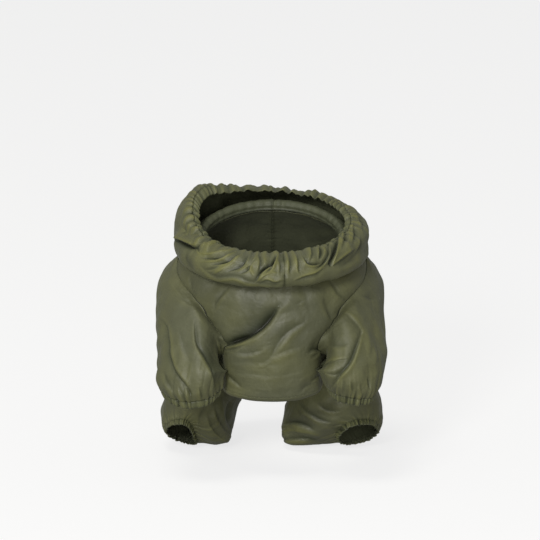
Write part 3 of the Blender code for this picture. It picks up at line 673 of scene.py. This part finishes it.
def taffetaGroup():
    # a plain weave of fine threads, with slubs, cloudy patches and the small crinkles of a
    # light coated nylon. The lift attribute also paints shade into creases and seams, and a
    # highlight onto raised folds
    tree = bpy.data.node_groups.new("taffeta", "ShaderNodeTree")
    tint, number = "NodeSocketColor", "NodeSocketFloat"
    for name, kind in (("Base", tint), ("CreaseShade", tint), ("PatchAndHighlight", tint), ("Crinkle", number)):
        tree.interface.new_socket(name, in_out="INPUT", socket_type=kind)
    for name, kind in (("Color", tint), ("Roughness", number), ("Height", number)):
        tree.interface.new_socket(name, in_out="OUTPUT", socket_type=kind)
    given = node(tree, "NodeGroupInput").outputs
    out = node(tree, "NodeGroupOutput").inputs
    cut = node(tree, "ShaderNodeUVMap", uv_map="cut").outputs[0]
    place = node(tree, "ShaderNodeTexCoord").outputs["Object"]
    weave = times(tree, bands(tree, cut, 1500.0, 0.6, "X"), bands(tree, cut, 1380.0, 0.6, "Y"))
    slubs = []
    for scale in ((1500.0, 60.0, 1.0), (50.0, 1400.0, 1.0)):
        stretched = node(tree, "ShaderNodeMapping", {"Vector": cut, "Scale": scale}).outputs[0]
        slubs.append(noise(tree, stretched, 1.0, 2.0))
    slub = plus(tree, *slubs)
    cloud = noise(tree, place, 26.0, 3.0)
    patch = noise(tree, place, 75.0, 2.0, 0.6)
    fine = noise(tree, place, 160.0, 1.0, 0.8)
    ridge = noise(tree, place, 95.0, 2.0, 0.8, "RIDGED_MULTIFRACTAL")

    lift = node(tree, "ShaderNodeAttribute", attribute_name="lift").outputs["Fac"]
    raised = remap(tree, lift, -1.4, 1.0, 0.0, 1.0)
    # low cloth gets painted crease shade, darker the deeper it lies
    deep = remap(tree, raised, 0.0, 0.58, 1.0, 0.0)
    # raised cloth gets a painted highlight, as if lit warmly from above
    ridgeHighlight = remap(tree, raised, 0.6, 1.0, 0.0, 1.0)
    # painted shade inside a seam, where the cloth is drawn in
    seamShade = remap(tree, lift, -2.6, -1.4, 0.35, 1.0)
    # cloudy patches of the same tint: a random tone of the cloth itself
    colour = blendColours(tree, remap(tree, cloud, 0.35, 0.65, 0.0, 0.35), given["Base"], given["PatchAndHighlight"])
    colour = blendColours(tree, times(tree, deep, 0.9), colour, given["CreaseShade"])
    colour = blendColours(tree, times(tree, ridgeHighlight, 0.8), colour, given["PatchAndHighlight"])
    uneven = plus(tree, times(tree, slub, 0.5), patch)
    tone = times(tree, remap(tree, uneven, 0.6, 1.4, 0.88, 1.12), seamShade)
    grey = node(tree, "ShaderNodeCombineColor", {0: tone, 1: tone, 2: tone}).outputs[0]
    link(tree, blendColours(tree, 1.0, colour, grey, "MULTIPLY"), out["Color"])

    dull = plus(tree, patch, times(tree, weave, 0.25))
    link(tree, remap(tree, dull, 0.3, 0.95, 0.42, 0.58), out["Roughness"])
    crinkle = plus(tree, times(tree, fine, 0.22), times(tree, ridge, 0.08))
    crinkle = times(tree, plus(tree, crinkle, times(tree, patch, 0.6)), given["Crinkle"])
    threads = plus(tree, times(tree, weave, 0.012), times(tree, slub, 0.014))
    link(tree, plus(tree, crinkle, threads), out["Height"])
    return tree


# each cloth's base colour, the painted shade of its creases, a tint for its cloudy patches that is also
# the painted highlight on raised folds, and its crinkle
taffeta = {
    "shell": {
        "Base": (0.087, 0.091, 0.051, 1), "CreaseShade": (0.030, 0.035, 0.018, 1),
        "PatchAndHighlight": (0.138, 0.138, 0.046, 1), "Crinkle": 1.7, "specular": 0.36, "sheen": 0.06,
    },
    "casing": {
        "Base": (0.072, 0.078, 0.036, 1), "CreaseShade": (0.026, 0.030, 0.016, 1),
        "PatchAndHighlight": (0.120, 0.124, 0.052, 1), "Crinkle": 1.2, "specular": 0.4, "sheen": 0.06,
    },
    "inside": {
        "Base": (0.060, 0.066, 0.038, 1), "CreaseShade": (0.034, 0.038, 0.024, 1),
        "PatchAndHighlight": (0.076, 0.082, 0.048, 1), "Crinkle": 1.2, "specular": 0.25, "sheen": 0.03,
    },
}


def nylon(name, group):
    settings = taffeta[name]
    material = bpy.data.materials.new("nylon " + name)
    material.use_nodes = True
    tree = material.node_tree
    shader = tree.nodes["Principled BSDF"]
    surface = node(tree, "ShaderNodeGroup", node_tree=group)
    for key in ("Base", "CreaseShade", "PatchAndHighlight", "Crinkle"):
        surface.inputs[key].default_value = settings[key]
    height = surface.outputs["Height"]
    bump = node(tree, "ShaderNodeBump", {"Height": height, "Strength": 1.0, "Distance": 0.001})
    link(tree, surface.outputs["Color"], shader.inputs["Base Color"])
    link(tree, surface.outputs["Roughness"], shader.inputs["Roughness"])
    link(tree, bump.outputs[0], shader.inputs["Normal"])
    shader.inputs["Sheen Weight"].default_value = settings["sheen"]
    shader.inputs["Sheen Roughness"].default_value = 0.4
    shader.inputs["Sheen Tint"].default_value = (0.80, 0.86, 0.62, 1)
    shader.inputs["Specular IOR Level"].default_value = settings["specular"]
    material.diffuse_color = settings["Base"]
    return material


def threadMaterial():
    material = bpy.data.materials.new("sewing thread")
    material.use_nodes = True
    tree = material.node_tree
    shader = tree.nodes["Principled BSDF"]
    place = node(tree, "ShaderNodeTexCoord").outputs["Object"]
    twist = bands(tree, place, 900.0, 1.0, "DIAGONAL")
    colour = blendColours(tree, twist, (0.076, 0.082, 0.038, 1), (0.150, 0.156, 0.076, 1))
    link(tree, colour, shader.inputs["Base Color"])
    shader.inputs["Roughness"].default_value = 0.5
    return material


print("materials")
group = taffetaGroup()
shell, casing, inside = (nylon(name, group) for name in ("shell", "casing", "inside"))
thread = threadMaterial()


def clothSheet(settings, place):
    # a grid whose points are placed by the form. across and along run from 0 to 1, and place
    # gives the points, their relief, the ways out of the cloth, and the spots on the flat cut
    name, slot = settings["node"] + "_cloth", settings.get("slot", "nylon_shell")
    form = bmesh.new()
    form.loops.layers.uv.new("cut")
    bmesh.ops.create_grid(form, x_segments=settings["columns"], y_segments=settings["rows"], size=0.5,
                          calc_uvs=True)
    mesh = bpy.data.meshes.new(name)
    form.to_mesh(mesh)
    form.free()
    flatPoints = np.empty(len(mesh.vertices) * 3)
    mesh.vertices.foreach_get("co", flatPoints)
    across, along = flatPoints[0::3] + 0.5, 0.5 - flatPoints[1::3]
    points, relief, outwards, spots = place(across, along)
    mesh.vertices.foreach_set("co", ((points - hold) * mm).ravel())
    # lift sets painted shade in creases and seams and a painted highlight on raised folds
    mesh.attributes.new("lift", "FLOAT", "POINT").data.foreach_set("value", relief)
    corners = np.empty(len(mesh.loops), int)
    mesh.loops.foreach_get("vertex_index", corners)
    mesh.uv_layers["cut"].data.foreach_set("uv", (spots[corners] * mm).ravel())
    form = bmesh.new()
    form.from_mesh(mesh)
    form.normal_update()
    if sum(face.normal.dot(outwards[face.verts[0].index]) for face in form.faces) < 0:
        bmesh.ops.reverse_faces(form, faces=form.faces)
    if settings.get("closed"):
        rim = [vert for vert in form.verts if vert.is_boundary]
        bmesh.ops.remove_doubles(form, verts=rim, dist=1e-6)
    form.to_mesh(mesh)
    form.free()
    mesh.shade_smooth()
    mesh.materials.append(casing if slot == "elastic_casing" else shell)
    mesh.materials.append(inside)
    piece = bpy.data.objects.new(name, mesh)
    bpy.context.scene.collection.objects.link(piece)
    wall = piece.modifiers.new("thickness", "SOLIDIFY")
    wall.thickness = settings.get("thickness", 0.5) * mm
    wall.offset = -1.0
    wall.material_offset = 1
    wall.use_even_offset = False
    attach(piece, "root")
    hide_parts(settings["node"])
    return piece


def treeOf(mesh):
    places = [vert.co for vert in mesh.vertices]
    return BVHTree.FromPolygons(places, [face.vertices for face in mesh.polygons])


sides = {"left": -1, "right": 1}
chest = {
    "node": "chest_panel", "columns": 180, "rows": 170,
    "flat": (0.150, 0.115), "area": 0.0150, "held": "draped",
}


def chestPlace(across, along):
    row = along * body["chestHem"]
    edge = seamAt(row, frontSeam)
    degrees = edge * (0.6 * (2 * across - 1) + 0.4 * np.sin(np.pi * (across - 0.5)))  # finer at the seams
    fromSide = (edge - np.abs(degrees)) * body["degreeLength"]
    extra = seamDip(fromSide, row * body["rowLength"], "armhole front") + neckDip(row)
    extra += hemShape((body["chestHem"] - row) * body["chestHemRow"])
    points, relief, outwards = bodyPoint(row, degrees, extra)
    spots = np.stack((degrees * body["degreeLength"], -row * body["rowLength"]), 1)
    return points, reliefWithSeamShade(relief, fromSide, 2.1), outwards, spots


back = {"columns": 90, "rows": 170, "flat": (0.105, 0.235), "area": 0.0185, "held": "draped"}


def backPlace(side):
    def place(across, along):
        row = along * body["tailHem"]
        edge = seamAt(row, backSeam)
        share = 0.6 * across + 0.4 * (0.5 - 0.5 * np.cos(np.pi * across))
        angle = edge + (180 - edge) * share
        fromSide, fromMiddle = (angle - edge) * body["degreeLength"], (180 - angle) * body["degreeLength"]
        extra = seamDip(fromSide, row * body["rowLength"], "armhole back")
        extra += seamDip(fromMiddle, row * body["rowLength"], "centre back") + neckDip(row) + tailHem(row)
        points, relief, outwards = bodyPoint(row, side * angle, extra)
        spots = np.stack((side * angle * body["degreeLength"], -row * body["rowLength"]), 1)
        return points, relief * 0.6, outwards, spots

    return place


placket = {
    "node": "back_placket", "slot": "elastic_casing", "columns": 20, "rows": 170,
    "flat": (0.017, 0.185), "held": "laid", "thickness": 0.35,
    "halfWidth": 7.5, "top": 0.15, "end": 11.7, "raised": 1.0,
}


def placketHalf(row):  # half its width, in degrees
    return np.degrees(placket["halfWidth"] / (2 * sectionAt(row)[:, 8]))


def placketPlace(across, along):
    row = placket["top"] + (placket["end"] - placket["top"]) * along
    degrees = 180 + placketHalf(row) * (2 * across - 1)
    fromMiddle = placket["halfWidth"] * np.abs(2 * across - 1)
    fromEdge = placket["halfWidth"] - fromMiddle
    extra = placket["raised"] - 0.35 * bell(fromEdge, 0.7)
    extra -= 0.2 * bell(fromEdge - 1.6, 0.5)  # drawn in by its stitches
    extra += 0.08 * softNoise(np.stack((row * body["rowLength"], row * 0, fromMiddle), 1), 9.0, 77, 8)
    points, relief, outwards = bodyPoint(row, degrees, extra)
    spots = np.stack((fromMiddle * np.sign(across - 0.5), -row * body["rowLength"]), 1)
    return points, relief, outwards, spots


hoodHalf = {"columns": 280, "rows": 105, "held": "gathered"}
hoodFlats = {"left": (0.235, 0.090), "right": (0.225, 0.085)}
hoodEdge = {
    "node": "hood_edge", "slot": "elastic_casing", "columns": 480, "rows": 10,
    "flat": (0.400, 0.010), "held": "gathered", "closed": True, "degreeLength": 1.3,
}


def rolledOver(along):  # the section of a casing, round over its elastic
    return np.sqrt(np.clip(np.sin(np.pi * (0.04 + 0.92 * along)), 0, 1)) - 1


def hoodPlace(side):
    def place(across, along):
        row = np.interp(along, (0, 0.3, 1), (-0.12, 4.5, hood["casing"]))  # finer where it shows
        fromNeck, fromCasing = row * hood["rowLength"], (hood["casing"] - row) * hood["casingRow"]
        span = side * 180 - hood["frontSeam"]
        share = 0.75 * across + 0.25 * across**2
        degrees = hood["frontSeam"] + span * share
        arc = abs(span) * hood["arcLength"]
        extra = seamDip(arc * share, fromNeck, "hood front")
        extra += seamDip(arc * (1 - share), fromNeck, "hood back")
        extra = extra * np.clip(row, 0, 1) - 0.9 * bell(fromCasing, 1.0) - 1.5 * bell(fromNeck, 1.6)
        points, relief, outwards = hoodPoint(row, degrees, extra)
        return points, relief, outwards, np.stack((degrees * hood["arcLength"], -fromNeck), 1)

    return place


def hoodEdgePlace(across, along):
    row = hood["casing"] + (len(hood["rings"]) - 1 - hood["casing"]) * along
    degrees = 360 * across
    points, relief, outwards = hoodPoint(row, degrees, 0.9 * rolledOver(along))
    spots = np.stack((degrees * hoodEdge["degreeLength"], -row * hood["rowLength"]), 1)
    return points, relief, outwards, spots


sleeve = {"columns": 240, "rows": 125, "flat": (0.190, 0.105), "held": "gathered", "closed": True}
hindLeg = {"columns": 210, "rows": 85, "held": "gathered", "closed": True}
cuff = {"slot": "elastic_casing", "rows": 10, "held": "gathered", "closed": True}
# each cover with its cuff: its limb, its settings, and the cuff's node and flat size
limbSheets = (
    ("sleeveLeft", {**sleeve, "node": "sleeve_left"}, "sleeve_cuff_left", (0.130, 0.010)),
    ("sleeveRight", {**sleeve, "node": "sleeve_right"}, "sleeve_cuff_right", (0.125, 0.010)),
    ("hindLeft", {**hindLeg, "node": "hind_leg_left", "flat": (0.250, 0.085)},
     "hind_cuff_left", (0.095, 0.010)),
    ("hindRight", {**hindLeg, "node": "hind_leg_right", "flat": (0.290, 0.085)},
     "hind_cuff_right", (0.095, 0.010)),
)
pressReach, pressGap = 0.014, 0.0011  # metres: where other cloth is felt, and how near it may lie


def keepClear(points, weights, others):  # cloth that presses on other cloth lies on it, just clear
    places = (points - hold) * mm
    for i in np.flatnonzero(weights > 0):
        for tree in others:
            near, way, _, _ = tree.find_nearest(Vector(places[i]), pressReach)
            if near is None:
                continue
            way = np.array(way)
            short = pressGap - (places[i] - np.array(near)) @ way
            if short > 0:
                places[i] += way * short * weights[i]
    return places / mm + hold


def limbPlace(limb, others):
    casingRow = len(limb["rings"]) - 1

    def place(across, along):
        row = casingRow * along
        degrees = 360 * across
        fromSeam, fromCuff = row * limbScale["rootRow"], (casingRow - row) * limbScale["cuffRow"]
        extra = 0.4 * bell(fromSeam - 2.8, 1.1)  # a low ridge beside the seam
        extra -= 3.0 * fromSeam * np.exp(-fromSeam / 0.7) + 0.8 * bell(fromCuff, 1.0)
        points, relief, outwards = limbPoint(limb, row, degrees, extra)
        points = keepClear(points, np.clip(row * 3 - 1, 0, 1) * (row < casingRow - 0.5), others)
        spots = np.stack((degrees * coverCut["degree"], -row * coverCut["row"]), 1)
        return points, reliefWithSeamShade(relief, fromSeam, 2.4), outwards, spots

    return place


def cuffPlace(limb):
    def place(across, along):
        row = len(limb["rings"]) - 1 + along
        degrees = 360 * across
        points, relief, outwards = limbPoint(limb, row, degrees, 1.24 * rolledOver(along))
        spots = np.stack((degrees * cuffCut["degree"], -row * cuffCut["row"]), 1)
        return points, relief, outwards, spots

    return place


print("chest, back and placket")
panels = [clothSheet(chest, chestPlace)]
for name, side in sides.items():
    panels.append(clothSheet({**back, "node": "back_" + name}, backPlace(side)))
clothSheet(placket, placketPlace)
print("hood")
for name, side in sides.items():
    clothSheet({**hoodHalf, "node": "hood_" + name, "flat": hoodFlats[name]}, hoodPlace(side))
clothSheet(hoodEdge, hoodEdgePlace)
print("sleeves and legs")
pressedOn = [treeOf(panel.data) for panel in panels]
for limbName, cover, cuffNode, cuffFlat in limbSheets:
    clothSheet(cover, limbPlace(limbs[limbName], pressedOn))
    cuffSettings = {**cuff, "node": cuffNode, "columns": cover["columns"], "flat": cuffFlat}
    clothSheet(cuffSettings, cuffPlace(limbs[limbName]))


stitch = {"length": 2.3, "gap": 1.0, "thick": 0.36, "fromSeam": 1.8, "chestHem": 6.6, "tailHem": 11.69}


def stitchPlace(middle, forwards, sideways, up):
    half, thick = stitch["length"] / 2, stitch["thick"] / 2
    columns = (forwards * half * mm, sideways * thick * mm, up * thick * mm, (middle - hold) * mm)
    rows = [[float(column[k]) for column in columns] for k in range(3)]
    return Matrix((*rows, (0, 0, 0, 1)))


def stitchLine(form, points, outwards):  # small stitches laid along a line of points
    steps = np.linalg.norm(np.diff(points, axis=0), axis=1)
    travelled = np.concatenate(([0], np.cumsum(steps)))

    def at(place, values):
        return np.array([np.interp(place, travelled, values[:, k]) for k in range(3)])

    length = stitch["length"]
    for start in np.arange(0.5, travelled[-1] - length, length + stitch["gap"]):
        middle, ahead = at(start + length / 2, points), at(start + length, points)
        up = at(start + length / 2, outwards)
        forwards = unit(ahead - middle)
        sideways = unit(np.cross(up, forwards))
        up = np.cross(forwards, sideways)
        place = stitchPlace(middle + up * 0.1, forwards, sideways, up)
        bmesh.ops.create_icosphere(form, subdivisions=1, radius=1.0, matrix=place)


def besideSeam(limb):  # a line just below the seam, on the sleeve or the leg
    degrees = np.linspace(0, 360, 500)
    ends = [limbPoint(limb, np.full(500, row), degrees)[0] for row in (0.0, 0.03)]
    pace = np.linalg.norm(ends[1] - ends[0], axis=1) / 0.03  # millimetres for each row
    points, _, outwards = limbPoint(limb, stitch["fromSeam"] / np.maximum(pace, 8), degrees)
    return points, outwards


def onBody(row, degrees, extra=0.0):
    points, _, outwards = bodyPoint(row, degrees, extra)
    return points, outwards


print("sewing")
sewing = bmesh.new()
for limbName, *_ in limbSheets:
    stitchLine(sewing, *besideSeam(limbs[limbName]))
row = np.linspace(0.02, 0.98, 400) * (placket["end"] - placket["top"]) + placket["top"]
for side in sides.values():
    stitchLine(sewing, *onBody(row, 180 + side * placketHalf(row) * 0.79, placket["raised"] - 0.2))
stitchLine(sewing, *onBody(np.full(400, stitch["chestHem"]), np.linspace(-77, 77, 400)))
stitchLine(sewing, *onBody(np.full(400, stitch["tailHem"]), np.linspace(128, 232, 400)))
mesh = bpy.data.meshes.new("topstitching")
sewing.to_mesh(mesh)
sewing.free()
mesh.shade_smooth()
mesh.materials.append(thread)
stitches = bpy.data.objects.new("topstitching", mesh)
bpy.context.scene.collection.objects.link(stitches)
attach(stitches, "root")


studio = {
    # the floor's colour, how bright it looks and how much light it throws back, then how bright
    # the air behind it looks and how much light comes from there
    "floor": 0.22, "floorGlow": 0.755, "floorThrown": 0.12, "world": 0.92, "fill": 0.31,
    # where each soft light is, its size, its power and its colour
    "lights": (
        ((-1.0, -3.5, 1.5), 0.8, 82.0, (1.0, 0.985, 0.95)),
        ((0.0, -3.7, 0.45), 1.4, 40.0, (1.0, 0.99, 0.96)),
        ((-0.6, -0.9, 2.9), 1.2, 32.0, (1.0, 0.985, 0.92)),
    ),
    "distance": 8.0, "frame": 0.432, "target": Vector((-0.0016, 0.0, 0.0119)),
}

print("studio")
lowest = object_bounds()[0]
form = bmesh.new()
bmesh.ops.create_grid(form, x_segments=1, y_segments=1, size=6.0)
mesh = bpy.data.meshes.new("floor")
form.to_mesh(mesh)
form.free()
floor = bpy.data.objects.new("floor", mesh)
floor.location.z = lowest[2] - 0.0006
bpy.context.scene.collection.objects.link(floor)
paint = bpy.data.materials.new("pale floor")
paint.use_nodes = True
paper = paint.node_tree.nodes["Principled BSDF"]
paper.inputs["Base Color"].default_value = (studio["floor"],) * 3 + (1,)
paper.inputs["Roughness"].default_value = 0.9
paper.inputs["Emission Color"].default_value = (1, 1, 1, 1)
eye = node(paint.node_tree, "ShaderNodeLightPath").outputs["Is Camera Ray"]
glow = remap(paint.node_tree, eye, 0.0, 1.0, studio["floorThrown"], studio["floorGlow"])
link(paint.node_tree, glow, paper.inputs["Emission Strength"])
paper.inputs["Specular IOR Level"].default_value = 0.0
mesh.materials.append(paint)

world = bpy.data.worlds.new("studio")
world.use_nodes = True
sky = world.node_tree
seen = sky.nodes["Background"]
seen.inputs["Color"].default_value = (1, 1, 1, 1)
seen.inputs["Strength"].default_value = studio["world"]
fill = node(sky, "ShaderNodeBackground", {"Color": (1, 1, 1, 1), "Strength": studio["fill"]})
mixed = node(sky, "ShaderNodeMixShader", {0: node(sky, "ShaderNodeLightPath").outputs["Is Camera Ray"]})
link(sky, fill.outputs[0], mixed.inputs[1])
link(sky, seen.outputs[0], mixed.inputs[2])
link(sky, mixed.outputs[0], sky.nodes["World Output"].inputs["Surface"])
bpy.context.scene.world = world
bpy.context.scene.view_settings.view_transform = "Standard"
for i, (spot, size, power, colour) in enumerate(studio["lights"]):
    lamp = bpy.data.lights.new(f"softbox {i}", "AREA")
    lamp.shape, lamp.size, lamp.energy, lamp.color = "DISK", size, power, colour
    light = bpy.data.objects.new(f"softbox {i}", lamp)
    light.location = spot
    light.rotation_euler = (Vector(spot)).to_track_quat("Z", "Y").to_euler()
    bpy.context.scene.collection.objects.link(light)

lens = bpy.data.cameras.new("camera")
lens.sensor_width = 36.0
lens.lens = lens.sensor_width * studio["distance"] / studio["frame"]
lens.clip_end = 60.0
camera = bpy.data.objects.new("camera", lens)
view = Vector((0, -math.cos(tilt), math.sin(tilt)))
camera.location = studio["target"] + view * studio["distance"]
camera.rotation_euler = (math.radians(90) - tilt, 0, 0)
bpy.context.scene.collection.objects.link(camera)
bpy.context.scene.camera = camera
